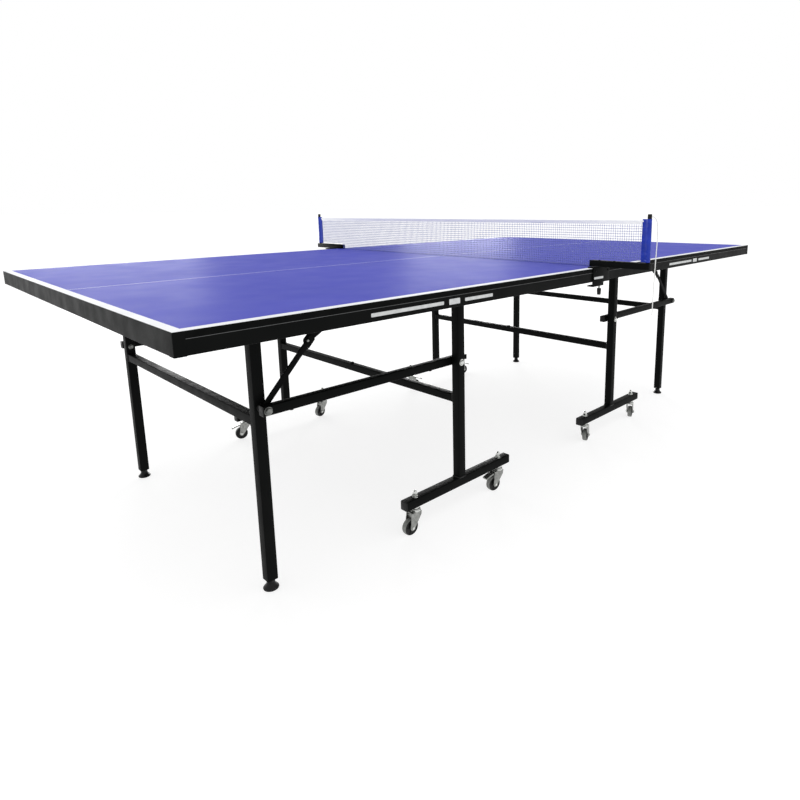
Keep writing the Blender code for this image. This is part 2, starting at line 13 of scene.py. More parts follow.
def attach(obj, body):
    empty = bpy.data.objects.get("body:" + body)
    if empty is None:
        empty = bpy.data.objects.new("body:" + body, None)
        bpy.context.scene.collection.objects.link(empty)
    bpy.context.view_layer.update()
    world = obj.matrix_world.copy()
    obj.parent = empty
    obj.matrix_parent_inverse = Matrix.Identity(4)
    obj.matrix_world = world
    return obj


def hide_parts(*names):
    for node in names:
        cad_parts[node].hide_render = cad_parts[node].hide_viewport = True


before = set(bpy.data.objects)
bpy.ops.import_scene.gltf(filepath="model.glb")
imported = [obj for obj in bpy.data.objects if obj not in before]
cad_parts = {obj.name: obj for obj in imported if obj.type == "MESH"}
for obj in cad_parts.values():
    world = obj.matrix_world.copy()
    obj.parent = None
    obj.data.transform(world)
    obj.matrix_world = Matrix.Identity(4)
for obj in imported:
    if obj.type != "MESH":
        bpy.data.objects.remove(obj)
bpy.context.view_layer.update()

HALVES = (("a", -1), ("b", 1))
SIDES = (("near", -1), ("far", 1))

# ------------------------------------------------------------------ sizes of the frame, in metres
HALF_GAP, EDGE_X, EDGE_Y = 0.0045, 1.370, 0.7625
TOP_Z, BOARD_Z, APRON_Z = 0.760, 0.745, 0.715
APRON_WIDTH, RAIL, SHEET = 0.020, 0.025, 0.0015
TUBE, BAR, CORNER = 0.029, 0.025, 0.0026
POST_X, POST_Y, LEG_X, LEG_Y = 0.465, 0.540, 1.089, 0.467
PIVOT_Z, LINK_Z, UPRIGHT_TOP, LEG_FOOT = 0.700, 0.490, 0.712, 0.027
POST_BAR_Z, LEG_BAR_Z, BASE_Z, BASE_HALF = 0.3715, 0.452, 0.084, 0.233
LINK_LOW_Y, LINK_HIGH_Y, LINK_HEIGHT = 0.4995, 0.5215, 0.025
LINK_TAIL, LINK_NOSE = 0.0298, 0.0118
RAIL_X = (POST_X + 0.025, 0.890, LEG_X + 0.025)
CATCH_ANGLE, CATCH_REACH, CATCH_SHIFT = 47, 0.195, 0.0025
STEM_OFFSET, TRAIL, WHEEL_R = 0.190, 0.022, 0.025
LEVER_X, LEVER_Z = 0.0175, 0.0610
NET_POST_Y, ARM_TOP = 0.915, 0.7803
SCREW = (-0.0125, 0.7545)
NET_REACH, NET_FOOT, NET_HEAD, NET_PITCH, THREAD = 0.8960, 0.7632, 0.9020, 0.0080, 0.0018
SLEEVE_LOW, SLEEVE_HIGH, SLEEVE_R = 0.7828, 0.9162, 0.0074

# ------------------------------------------------------------------ sizes of small details
LINE_WIDTH, CENTRE_LINE_HALF, PAINT_DEPTH = 0.020, 0.0015, 0.0009
BEND, TUBE_EASE, CAP_DEPTH, WASHER = 0.0022, 0.0006, 0.0026, 0.0014
GUARD_LEG, GUARD_SHEET, GUARD_R = 0.021, 0.0005, 0.0030
LUG_TOP, LUG_SHEET = 0.7206, 0.004
MARK_Z, MARK_CORNER = 0.7305, 0.0020
PAN_HEAD = ((0, 0), (0.0040, 0), (0.0036, 0.0010), (0.0020, 0.0017), (0, 0.0019))

CASTERS = (
    ("a", "near", "outer", 178), ("a", "near", "inner", 172),
    ("a", "far", "outer", 160), ("a", "far", "inner", 192),
    ("b", "near", "inner", 20), ("b", "near", "outer", 22),
    ("b", "far", "inner", 330), ("b", "far", "outer", 350),
)

CORD_ROUTE = (
    (0.0000, -0.9219, 0.9240), (0.0006, -0.9262, 0.9236), (0.0026, -0.9302, 0.9208),
    (0.0056, -0.9333, 0.9150), (0.0084, -0.9353, 0.9070), (0.0104, -0.9365, 0.8970),
    (0.0116, -0.9370, 0.8850), (0.0120, -0.9371, 0.8700), (0.0116, -0.9370, 0.8500),
    (0.0106, -0.9368, 0.8250), (0.0094, -0.9364, 0.7950), (0.0084, -0.9360, 0.7650),
    (0.0076, -0.9357, 0.7350), (0.0070, -0.9354, 0.7050), (0.0065, -0.9352, 0.6750),
    (0.0062, -0.9350, 0.6450), (0.0060, -0.9349, 0.6170),
)
CORD_WIDTH = 0.003


# ------------------------------------------------------------------ camera
def add_camera():
    data = bpy.data.cameras.new("camera")
    data.sensor_width = 36
    data.lens = 26.287
    data.shift_x, data.shift_y = -0.0718, -0.1033
    data.clip_start, data.clip_end = 0.05, 500
    camera = bpy.data.objects.new("camera", data)
    bpy.context.scene.collection.objects.link(camera)
    right = Vector((0.69717768, -0.71681916, -0.0106568))
    up = Vector((0.13980913, 0.12136846, 0.98271212))
    back = -Vector((0.70313348, 0.68661487, -0.18483325))
    turn = Matrix((right, up, back)).transposed().to_4x4()
    camera.matrix_world = Matrix.Translation((-1.7158, -1.7601, 0.9574)) @ turn
    bpy.context.scene.camera = camera


# ------------------------------------------------------------------ materials
class Look:
    """A material with short names for the nodes that its colour, roughness and relief come from."""

    def __init__(self, name, **sockets):
        self.material = bpy.data.materials.new(name)
        self.material.use_nodes = True
        self.nodes = self.material.node_tree.nodes
        self.shader = self.nodes["Principled BSDF"]
        self.coords = self.nodes.new("ShaderNodeTexCoord").outputs["Object"]
        for key, value in sockets.items():
            self.shader.inputs[key.replace("_", " ")].default_value = value

    def link(self, output, socket):
        self.material.node_tree.links.new(output, socket)

    def noise(self, scale, detail=3.0):
        texture = self.nodes.new("ShaderNodeTexNoise")
        texture.inputs["Scale"].default_value = scale
        texture.inputs["Detail"].default_value = detail
        self.link(self.coords, texture.inputs["Vector"])
        return texture.outputs["Fac"]

    def waves(self, scale, axis):
        texture = self.nodes.new("ShaderNodeTexWave")
        texture.bands_direction = axis
        texture.inputs["Scale"].default_value = scale
        self.link(self.coords, texture.inputs["Vector"])
        return texture.outputs["Fac"]

    def math(self, operation, first, second=0.0):
        node = self.nodes.new("ShaderNodeMath")
        node.operation = operation
        for value, socket in ((first, node.inputs[0]), (second, node.inputs[1])):
            if isinstance(value, (int, float)):
                socket.default_value = value
            else:
                self.link(value, socket)
        return node.outputs[0]

    def spread(self, value, low, high, start=0.35, end=0.65):
        node = self.nodes.new("ShaderNodeMapRange")
        for key, number in (("From Min", start), ("From Max", end), ("To Min", low), ("To Max", high)):
            node.inputs[key].default_value = number
        self.link(value, node.inputs["Value"])
        return node.outputs["Result"]

    def mix(self, factor, first, second):
        node = self.nodes.new("ShaderNodeMix")
        node.data_type = "RGBA"
        self.link(factor, node.inputs["Factor"])
        for value, socket in ((first, node.inputs["A"]), (second, node.inputs["B"])):
            if isinstance(value, tuple):
                socket.default_value = (*value, 1)
            else:
                self.link(value, socket)
        return node.outputs["Result"]

    def colour(self, output):
        self.link(output, self.shader.inputs["Base Color"])

    def roughness(self, output):
        self.link(output, self.shader.inputs["Roughness"])

    def relief(self, height, strength, distance):
        node = self.nodes.new("ShaderNodeBump")
        node.inputs["Strength"].default_value = strength
        node.inputs["Distance"].default_value = distance
        self.link(height, node.inputs["Height"])
        self.link(node.outputs["Normal"], self.shader.inputs["Normal"])


def varied(name, dark, light, patch, rough, grain, strength, distance, **sockets):
    """A finish whose colour and roughness drift over patches, with a fine grain in its relief."""
    look = Look(name, **sockets)
    patches = look.noise(patch, 4.0)
    look.colour(look.mix(look.spread(patches, 0.0, 1.0), dark, light))
    look.roughness(look.spread(look.noise(patch * 3.1, 3.0), *rough))
    look.relief(look.noise(grain, 2.0), strength, distance)
    return look.material


def playing_surface():
    """Satin violet-blue paint with white edge lines and centre line, black banded edges and backing."""
    look = Look("playing_surface", Specular_IOR_Level=0.02)
    split = look.nodes.new("ShaderNodeSeparateXYZ")
    look.link(look.coords, split.inputs["Vector"])
    across = look.math("ABSOLUTE", split.outputs["Y"])
    along = look.math("ABSOLUTE", split.outputs["X"])
    side = look.math("GREATER_THAN", across, EDGE_Y - LINE_WIDTH)
    end = look.math("GREATER_THAN", along, EDGE_X - LINE_WIDTH)
    centre = look.math("LESS_THAN", across, CENTRE_LINE_HALF)
    lines = look.math("MAXIMUM", look.math("MAXIMUM", side, end), centre)
    blue = look.mix(look.spread(look.noise(3.0, 4.0), 0.0, 1.0),
                    (0.066, 0.075, 0.430), (0.072, 0.080, 0.450))
    white = look.mix(look.spread(look.noise(9.0, 4.0), 0.0, 1.0),
                     (0.76, 0.77, 0.79), (0.84, 0.85, 0.86))
    paint = look.mix(lines, blue, white)
    edge = look.math("LESS_THAN", split.outputs["Z"], TOP_Z - PAINT_DEPTH)
    band = look.mix(look.spread(look.noise(40.0, 3.0), 0.0, 1.0),
                    (0.0030, 0.0034, 0.0033), (0.0046, 0.0050, 0.0048))
    look.colour(look.mix(edge, paint, band))
    look.roughness(look.spread(look.noise(11.0, 3.0), 0.48, 0.54))
    look.relief(look.noise(520.0, 2.0), 0.10, 0.0003)
    return look.material


def woven(name, dark, light, scale, rough, **sockets):
    """Fabric with threads across each other."""
    look = Look(name, **sockets)
    threads = look.math("MAXIMUM", look.waves(scale, "Y"), look.waves(scale, "Z"))
    look.colour(look.mix(threads, dark, light))
    look.roughness(look.spread(look.noise(90.0), *rough))
    look.relief(threads, 0.5, 0.0003)
    return look.material


def twisted(name, dark, light, scale, rough):
    """Laid cord or thread: slanting strands seen as narrow bands."""
    look = Look(name, Sheen_Weight=0.05)
    strands = look.waves(scale, "DIAGONAL")
    look.colour(look.mix(strands, dark, light))
    look.roughness(look.spread(look.noise(200.0), *rough))
    look.relief(strands, 0.45, 0.0003)
    return look.material


def make_looks():
    """Every finish, by the short name that the pieces ask for."""
    return {
        "steel": varied("black_powder_coat", (0.0030, 0.0034, 0.0033), (0.0046, 0.0050, 0.0048), 7.0,
                        (0.40, 0.50), 900.0, 0.16, 0.0003, Specular_IOR_Level=0.035),
        "plastic": varied("black_plastic", (0.0040, 0.0042, 0.0044), (0.0066, 0.0068, 0.0070), 30.0,
                          (0.32, 0.48), 1500.0, 0.10, 0.0002, Specular_IOR_Level=0.20),
        "zinc": varied("zinc_plate", (0.22, 0.225, 0.215), (0.33, 0.335, 0.32), 90.0,
                       (0.22, 0.42), 700.0, 0.10, 0.0002, Metallic=1.0),
        "dull": varied("dull_zinc", (0.14, 0.145, 0.14), (0.22, 0.225, 0.215), 110.0,
                       (0.28, 0.40), 700.0, 0.08, 0.0002, Metallic=1.0),
        "bright": varied("bright_zinc", (0.52, 0.53, 0.51), (0.68, 0.69, 0.67), 120.0,
                         (0.12, 0.24), 900.0, 0.05, 0.0002, Metallic=1.0),
        "tyre": varied("wheel_tread", (0.13, 0.134, 0.126), (0.20, 0.205, 0.195), 120.0,
                       (0.45, 0.62), 600.0, 0.20, 0.0003, Specular_IOR_Level=0.30),
        "hub": varied("wheel_hub", (0.0040, 0.0042, 0.0044), (0.0070, 0.0072, 0.0075), 60.0,
                      (0.30, 0.46), 900.0, 0.10, 0.0002, Specular_IOR_Level=0.22),
        "vinyl": varied("blue_vinyl", (0.007, 0.026, 0.30), (0.012, 0.036, 0.38), 45.0,
                        (0.28, 0.42), 1400.0, 0.25, 0.0003, Specular_IOR_Level=0.25),
        "weld": varied("weld_bead", (0.0040, 0.0044, 0.0042), (0.0070, 0.0074, 0.0072), 200.0,
                       (0.30, 0.44), 500.0, 0.30, 0.0005, Specular_IOR_Level=0.20),
        # lighter grey finish for the strip on the seam under the board: a painted highlight line
        "seam_highlight": varied("painted_seam_highlight", (0.050, 0.052, 0.052), (0.075, 0.077, 0.077), 40.0,
                       (0.40, 0.55), 900.0, 0.05, 0.0001),
        "mark": varied("plain_marking", (0.48, 0.49, 0.49), (0.58, 0.59, 0.59), 80.0,
                       (0.40, 0.55), 900.0, 0.05, 0.0001),
        "paint": playing_surface(),
        "tape": woven("white_tape", (0.82, 0.83, 0.85), (0.94, 0.95, 0.96), 420.0, (0.70, 0.85),
                      Sheen_Weight=0.2),
        "thread": twisted("net_thread", (0.100, 0.130, 0.36), (0.150, 0.180, 0.48), 700.0, (0.60, 0.80)),
        "cord": twisted("white_cord", (0.62, 0.63, 0.62), (0.86, 0.86, 0.84), 260.0, (0.60, 0.80)),
    }


# ------------------------------------------------------------------ building blocks
def add_piece(name, bm, looks, body, mirror=(1, 1), replaces=(), sharp=32):
    """Mirror a quarter's mesh to its place, shade it, and let it ride on its CAD body."""
    bm.transform(Matrix.Diagonal((mirror[0], mirror[1], 1, 1)))
    bmesh.ops.recalc_face_normals(bm, faces=bm.faces[:])
    mesh = bpy.data.meshes.new(name)
    bm.to_mesh(mesh)
    bm.free()
    mesh.shade_smooth()
    mesh.set_sharp_from_angle(angle=math.radians(sharp))
    for look in looks:
        mesh.materials.append(LOOKS[look])
    obj = bpy.data.objects.new(name, mesh)
    bpy.context.scene.collection.objects.link(obj)
    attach(obj, body)
    if replaces:
        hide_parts(*replaces)
    return obj


def loft(bm, sections, mat=0, ring=False):
    """Skin between loops of points with the same count; a ring also joins the last loop to the first."""
    loops = [[bm.verts.new(p) for p in section] for section in sections]
    pairs = list(zip(loops, loops[1:]))
    if ring:
        pairs.append((loops[-1], loops[0]))
    for low, high in pairs:
        for i in range(len(low)):
            j = (i + 1) % len(low)
            bm.faces.new((low[i], low[j], high[j], high[i])).material_index = mat
    if not ring:
        bm.faces.new(loops[0]).material_index = mat
        bm.faces.new(list(reversed(loops[-1]))).material_index = mat


def rounded(width, depth, radius, steps=3):
    """Rectangle outline with round corners, centred."""
    points = []
    for k, (sx, sy) in enumerate(((1, 1), (-1, 1), (-1, -1), (1, -1))):
        cx, cy = sx * (width / 2 - radius), sy * (depth / 2 - radius)
        for i in range(steps + 1):
            a = math.radians(90 * k + 90 * i / steps)
            points.append((cx + radius * math.cos(a), cy + radius * math.sin(a)))
    return points


def placed(axis, centre, depth, a, b):
    """The point at a depth along an axis, with a and b across it in axis order."""
    if axis == "X":
        return (depth, centre[0] + a, centre[1] + b)
    if axis == "Y":
        return (centre[0] + a, depth, centre[1] + b)
    return (centre[0] + a, centre[1] + b, depth)


def bar(bm, axis, span, centre, size):
    """Square tube with round corners and eased ends."""
    sections = []
    for depth, inset in ((span[0], TUBE_EASE), (span[0] + TUBE_EASE, 0),
                         (span[1] - TUBE_EASE, 0), (span[1], TUBE_EASE)):
        outline = rounded(size[0] - 2 * inset, size[1] - 2 * inset, CORNER - inset / 2)
        sections.append([placed(axis, centre, depth, a, b) for a, b in outline])
    loft(bm, sections)


def lathe(bm, profile, centre, axis="Z", steps=24, mat=0, flip=1, turn=0.0, ring=False):
    """Turn (radius, height) points round an axis; flip = -1 turns the heights round."""
    loops = []
    for radius, height in profile:
        if radius == 0:
            loops.append([bm.verts.new(Vector(centre) + Vector(placed(axis, (0, 0), flip * height, 0,
                                                                      0)))])
            continue
        loop = []
        for i in range(steps):
            a = 2 * math.pi * i / steps + turn
            offset = placed(axis, (0, 0), flip * height, radius * math.cos(a), radius * math.sin(a))
            loop.append(bm.verts.new(Vector(centre) + Vector(offset)))
        loops.append(loop)
    pairs = list(zip(loops, loops[1:]))
    if ring:
        pairs.append((loops[-1], loops[0]))
    for low, high in pairs:
        for i in range(steps):
            j = (i + 1) % steps
            corners = [low[i % len(low)], low[j % len(low)], high[j % len(high)], high[i % len(high)]]
            bm.faces.new(list(dict.fromkeys(corners))).material_index = mat


def set_in(before, here, after, way, middle, ease):
    """A corner moved inwards from both of its edges; way is 1 for an outline that turns left."""
    first, second = (here - before).normalized(), (after - here).normalized()
    normals = [Vector((-d.y, d.x)) * way for d in (first, second)]
    inwards = normals[0] + normals[1]
    if inwards.length > 0.1:
        return here + inwards * (ease / max(inwards.length_squared / 2, 0.3))
    return here.lerp(middle, 0.01)


def plate(bm, outline, span, axis="Y", ease=0.0005, mat=0):
    """Flat plate with eased edges: the outline's points lie across the axis."""
    count = len(outline)
    middle = Vector((sum(p[0] for p in outline) / count, sum(p[1] for p in outline) / count))
    area = sum(outline[i][0] * outline[(i + 1) % count][1] - outline[(i + 1) % count][0] * outline[i][1]
               for i in range(count))
    way = 1 if area > 0 else -1
    inner = []
    for i in range(count):
        before, here, after = (Vector(outline[(i + k) % count]) for k in (-1, 0, 1))
        inner.append(set_in(before, here, after, way, middle, ease))
    sections = []
    for depth, points in ((span[0], inner), (span[0] + ease, outline),
                          (span[1] - ease, outline), (span[1], inner)):
        sections.append([placed(axis, (0, 0), depth, p[0], p[1]) for p in points])
    loft(bm, sections, mat)


def bead(bm, axis, depth, centre, size, radius):
    """Rippled weld bead round a square tube's end, in the piece's second look."""
    path = []
    outline = rounded(*size, CORNER, 4)
    for i, first in enumerate(outline):
        second = outline[(i + 1) % len(outline)]
        parts = max(1, round(math.dist(first, second) / 0.0022))
        for k in range(parts):
            path.append((first[0] + (second[0] - first[0]) * k / parts,
                         first[1] + (second[1] - first[1]) * k / parts))
    sections = []
    for i, (a, b) in enumerate(path):
        before, after = path[i - 1], path[(i + 1) % len(path)]
        along = Vector((after[0] - before[0], after[1] - before[1])).normalized()
        out = Vector((along.y, -along.x))
        r = radius * (1.0 + 0.16 * math.cos(i * 2.1) + 0.10 * math.sin(i * 0.83))
        loop = []
        for k in range(6):
            t = 2 * math.pi * k / 6
            loop.append(placed(axis, centre, depth + r * math.sin(t),
                               a + out.x * r * math.cos(t), b + out.y * r * math.cos(t)))
        sections.append(loop)
    loft(bm, sections, 1, ring=True)


def hex_head(bm, centre, axis, flip, radius, depth):
    """Washer and chamfered hexagon head lying on the centre point."""
    lathe(bm, [(0, 0), (radius * 1.22, 0), (radius * 1.25, 0.0003), (radius * 1.25, 0.0011),
               (radius * 1.20, WASHER), (0, WASHER)], centre, axis, 28, flip=flip)
    lathe(bm, [(0, WASHER), (radius * 1.05, WASHER), (radius * 1.05, WASHER + depth * 0.78),
               (radius * 0.90, WASHER + depth), (0, WASHER + depth)],
          centre, axis, 6, flip=flip, turn=0.3)
    lathe(bm, [(0, WASHER + depth * 0.7), (radius * 0.80, WASHER + depth * 0.7),
               (radius * 0.80, WASHER + depth + 0.0002), (radius * 0.60, WASHER + depth + 0.0006),
               (0, WASHER + depth + 0.0007)], centre, axis, 20, flip=flip)


def dome_nut(bm, centre, axis, radius, depth):
    """Washer, hexagon skirt and round cap."""
    lathe(bm, [(0, 0), (radius * 1.28, 0), (radius * 1.30, 0.0004), (radius * 1.28, 0.0013),
               (0, WASHER)],
          centre, axis, 24)
    skirt = WASHER + depth * 0.42
    lathe(bm, [(0, WASHER), (radius * 1.02, WASHER), (radius * 1.08, 0.0022),
               (radius * 1.08, skirt - 0.0008), (radius * 0.95, skirt), (0, skirt)],
          centre, axis, 6, turn=0.2)
    dome = [(0, skirt - 0.001), (radius * 0.90, skirt - 0.001)]
    for i in range(6):
        a = math.radians(90 * i / 5)
        dome.append((radius * 0.90 * math.cos(a) if i < 5 else 0, skirt + (depth * 0.58) * math.sin(a)))
    lathe(bm, dome, centre, axis, 20)


def refined(name, node, looks, body, ease):
    """A CAD node's own shape with its edges eased."""
    bm = bmesh.new()
    bm.from_mesh(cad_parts[node].data)
    bmesh.ops.remove_doubles(bm, verts=bm.verts[:], dist=2e-6)
    bmesh.ops.dissolve_limit(bm, angle_limit=math.radians(1.5), verts=bm.verts[:], edges=bm.edges[:])
    edges = [e for e in bm.edges if e.is_manifold and e.calc_face_angle(0) > math.radians(30)]
    bmesh.ops.bevel(bm, geom=edges, offset=ease, segments=2, profile=0.5, affect="EDGES",
                    clamp_overlap=True)
    bmesh.ops.triangulate(bm, faces=[f for f in bm.faces if len(f.verts) > 4])
    return add_piece(name, bm, looks, body, replaces=(node,))


def join(target, part, t=1):
    """Move a bmesh into another, mirrored to its side."""
    part.transform(Matrix.Diagonal((1, t, 1, 1)))
    mesh = bpy.data.meshes.new("part")
    part.to_mesh(mesh)
    part.free()
    target.from_mesh(mesh)
    bpy.data.meshes.remove(mesh)


def arc(centre, radius, start, end, steps):
    """Points along part of a circle, between two angles in degrees."""
    angles = [math.radians(start + (end - start) * i / steps) for i in range(steps + 1)]
    return [(centre[0] + radius * math.cos(a), centre[1] + radius * math.sin(a)) for a in angles]


def each_corner():
    """Each quarter's half, its signs in x and y, and the tag that its pieces share."""
    for half, s in HALVES:
        for side, t in SIDES:
            yield half, s, t, "%s_%s" % (side, half)


# ------------------------------------------------------------------ floor and light
# name, place, point it faces, size in metres, power in watts
LIGHTS = (
    ("overhead", (0.0, 0.0, 5.5), (0, 0, 0), (7.0, 6.0), 30),
    ("left_back", (-4.6, 4.4, 1.0), (-0.8, 0, 0.5), (4.0, 2.4), 18),
    ("back_left", (0.1, 5.0, 1.2), (-0.9, 0, 0.76), (1.8, 1.4), 52),
    ("back_right", (4.7, 4.5, 1.2), (-0.4, 0, 0.76), (1.6, 1.2), 110),
)


def add_stage():
    bm = bmesh.new()
    bmesh.ops.create_circle(bm, cap_ends=True, segments=64, radius=220)
    mesh = bpy.data.meshes.new("floor")
    bm.to_mesh(mesh)
    bm.free()
    mesh.materials.append(varied(
        "floor_white", (0.34, 0.34, 0.34), (0.36, 0.36, 0.36), 1.2, (0.85, 0.92), 60.0, 0.02, 0.0005,
        Specular_IOR_Level=0.05, Emission_Color=(1, 1, 1, 1), Emission_Strength=0.76))
    floor = bpy.data.objects.new("floor", mesh)
    bpy.context.scene.collection.objects.link(floor)
    world = bpy.data.worlds.new("studio")
    world.use_nodes = True
    world.node_tree.nodes["Background"].inputs["Color"].default_value = (1, 1, 1, 1)
    world.node_tree.nodes["Background"].inputs["Strength"].default_value = 1.0
    bpy.context.scene.world = world
    bpy.context.scene.view_settings.view_transform = "Standard"
    for name, place, aim, size, power in LIGHTS:
        data = bpy.data.lights.new(name, "AREA")
        data.shape = "RECTANGLE"
        data.size, data.size_y = size
        data.energy = power
        light = bpy.data.objects.new(name, data)
        light.location = place
        light.rotation_euler = (Vector(aim) - Vector(place)).to_track_quat("-Z", "Y").to_euler()
        light.visible_camera = False
        bpy.context.scene.collection.objects.link(light)


# ------------------------------------------------------------------ tops
def build_tops():
    for half, s in HALVES:
        body = "top_" + half
        bm = bmesh.new()
        outline = [(HALF_GAP, -EDGE_Y), (EDGE_X, -EDGE_Y), (EDGE_X, EDGE_Y), (HALF_GAP, EDGE_Y)]
        plate(bm, outline, (BOARD_Z, TOP_Z), "Z", 0.0007)
        add_piece("panel_" + half, bm, ["paint"], body, (s, 1), ("board_" + half,))
        build_apron(half, s, body)


def folded(start, width, low, top):
    """Section of a folded channel: round bends at its foot, upright sides open at the top."""
    turns = [math.radians(a) for a in (90, 60, 30, 0)]
    end, foot = start + width, low + BEND
    section = [(start + BEND - BEND * math.sin(a), foot - BEND * math.cos(a)) for a in turns]
    section += [(end - BEND + BEND * math.sin(a), foot - BEND * math.cos(a)) for a in reversed(turns)]
    return section + [(end, top), (end - SHEET, top), (end - SHEET, low + SHEET),
                      (start + SHEET, low + SHEET), (start + SHEET, top)]


def build_apron(half, s, body):
    """Folded edge channel round the half and its three cross rails."""
    top = BOARD_Z - 0.0003
    section = folded(0, APRON_WIDTH, APRON_Z, top) + [(0.0004, top), (0, top - 0.0005)]
    corners = ((HALF_GAP, -EDGE_Y, 1, 1), (EDGE_X, -EDGE_Y, -1, 1),
               (EDGE_X, EDGE_Y, -1, -1), (HALF_GAP, EDGE_Y, 1, -1))
    bm = bmesh.new()
    loft(bm, [[(x + dx * inset, y + dy * inset, z) for inset, z in section] for x, y, dx, dy in corners],
         ring=True)
    reach = EDGE_Y - APRON_WIDTH + 0.0008
    for x in RAIL_X:
        profile = folded(x, RAIL, BOARD_Z - RAIL, top) + [(x, top)]
        loft(bm, [[(a, y, z) for a, z in profile] for y in (-reach, reach)])
    add_piece("apron_frame_" + half, bm, ["steel"], body, (s, 1), ("apron_" + half,))
    build_lugs(half, s, body)
    build_edge_details(half, s, body)


def build_lugs(half, s, body):
    """Pivot lugs and brace stays under the half, with their pins and the frame's screws."""
    lugs, screws = bmesh.new(), bmesh.new()
    catch = catch_point()
    for t in (-1, 1):
        part = bmesh.new()
        post_face, leg_face = POST_Y + TUBE / 2 + 0.0007, LEG_Y - TUBE / 2 - 0.0007
        for x, low in ((POST_X, post_face), (LEG_X, leg_face - LUG_SHEET)):
            outline = [(x + 0.048, LUG_TOP), (x - 0.006, LUG_TOP)]
            outline += arc((x, PIVOT_Z), 0.0112, 150, 300, 9)
            outline += [(x + 0.048, PIVOT_Z + 0.010)]
            plate(part, outline, (low, low + LUG_SHEET))
        outline = [(0.914, LUG_TOP), (0.891, LUG_TOP), (0.891, 0.690), (0.900, 0.657)]
        outline += arc(catch, 0.0095, 240, 420, 10)
        outline += [(0.921, 0.684)]
        plate(part, outline, (0.4885, 0.4925))
        join(lugs, part, t)
        part = bmesh.new()
        lathe(part, [(0, 0.4888), (0.0035, 0.4888), (0.0035, 0.4980), (0.0028, 0.4985), (0, 0.4985)],
              (catch[0], 0, catch[1]), "Y", 20)
        places = [(x, EDGE_Y - 0.010, APRON_Z) for x in (0.06, 0.36, 0.66, 0.96, 1.26)]
        places += [(x + RAIL / 2, y, BOARD_Z - RAIL) for x in RAIL_X for y in (0.10, 0.36, 0.63)]
        for x, y, z in places:
            lathe(part, PAN_HEAD, (x, y, z + 0.0002), "Z", 14, flip=-1)
        join(screws, part, t)
    add_piece("top_lugs_" + half, lugs, ["steel"], body, (s, 1))
    add_piece("top_screws_" + half, screws, ["zinc"], body, (s, 1))


def build_edge_details(half, s, body):
    """Corner guards, the end's smooth cover, and a lighter grey strip under the board's long edges: a
    painted highlight along the seam.
    """
    bm = bmesh.new()
    corner = (EDGE_X + GUARD_SHEET - GUARD_R, EDGE_Y + GUARD_SHEET - GUARD_R)
    for t in (-1, 1):
        part = bmesh.new()
        outline = [(EDGE_X + GUARD_SHEET, EDGE_Y - GUARD_LEG)] + arc(corner, GUARD_R, 0, 90, 6)
        outline += [(EDGE_X - GUARD_LEG, EDGE_Y + GUARD_SHEET), (EDGE_X - GUARD_LEG, EDGE_Y)]
        outline += arc(corner, GUARD_R - GUARD_SHEET, 90, 0, 6) + [(EDGE_X, EDGE_Y - GUARD_LEG)]
        plate(part, outline, (APRON_Z - 0.0002, TOP_Z - 0.0010), "Z", 0.0002)
        join(bm, part, t)
    add_piece("corner_guards_" + half, bm, ["steel"], body, (s, 1))
    bm = bmesh.new()
    reach, low, high = EDGE_Y - 0.0006, APRON_Z + 0.0004, TOP_Z - 0.0012
    plate(bm, [(-reach, low), (reach, low), (reach, high), (-reach, high)],
          (EDGE_X - 0.0002, EDGE_X + 0.0003), "X", 0.0002)
    add_piece("end_cover_" + half, bm, ["steel"], body, (s, 1))
    # lighter grey strip along the seam under the board's long edges: a painted highlight line
    bm = bmesh.new()
    start, end, low, high = HALF_GAP + 0.0010, EDGE_X - GUARD_LEG, BOARD_Z - 0.0006, BOARD_Z + 0.0005
    for t in (-1, 1):
        part = bmesh.new()
        plate(part, [(start, low), (end, low), (end, high), (start, high)],
              (EDGE_Y - 0.0004, EDGE_Y + 0.0002), "Y", 0.0001)
        join(bm, part, t)
    add_piece("seam_highlight_strips_" + half, bm, ["seam_highlight"], body, (s, 1))


def catch_point():
    """The pin's place in x and z, from the brace's reach and slope."""
    angle = math.radians(CATCH_ANGLE)
    return (LEG_X - math.cos(angle) * CATCH_REACH + math.sin(angle) * CATCH_SHIFT,
            LINK_Z + math.sin(angle) * CATCH_REACH + math.cos(angle) * CATCH_SHIFT)


def build_markings():
    """Plain bands on the near side, in place of printed words."""
    for half, spans in (("a", ((-0.960, -0.740), (-0.722, -0.684), (-0.666, -0.560))),
                        ("b", ((0.494, 0.700), (0.716, 0.754), (0.772, 0.884)))):
        bm = bmesh.new()
        for low, high in spans:
            tall = 0.0140 if high - low < 0.06 else 0.0085
            outline = rounded(high - low, tall, MARK_CORNER)
            loft(bm, [[((low + high) / 2 + a, y, MARK_Z + b) for a, b in outline]
                      for y in (-EDGE_Y - 0.00012, -EDGE_Y + 0.0003)])
        add_piece("plain_marking_" + half, bm, ["mark"], "top_" + half)


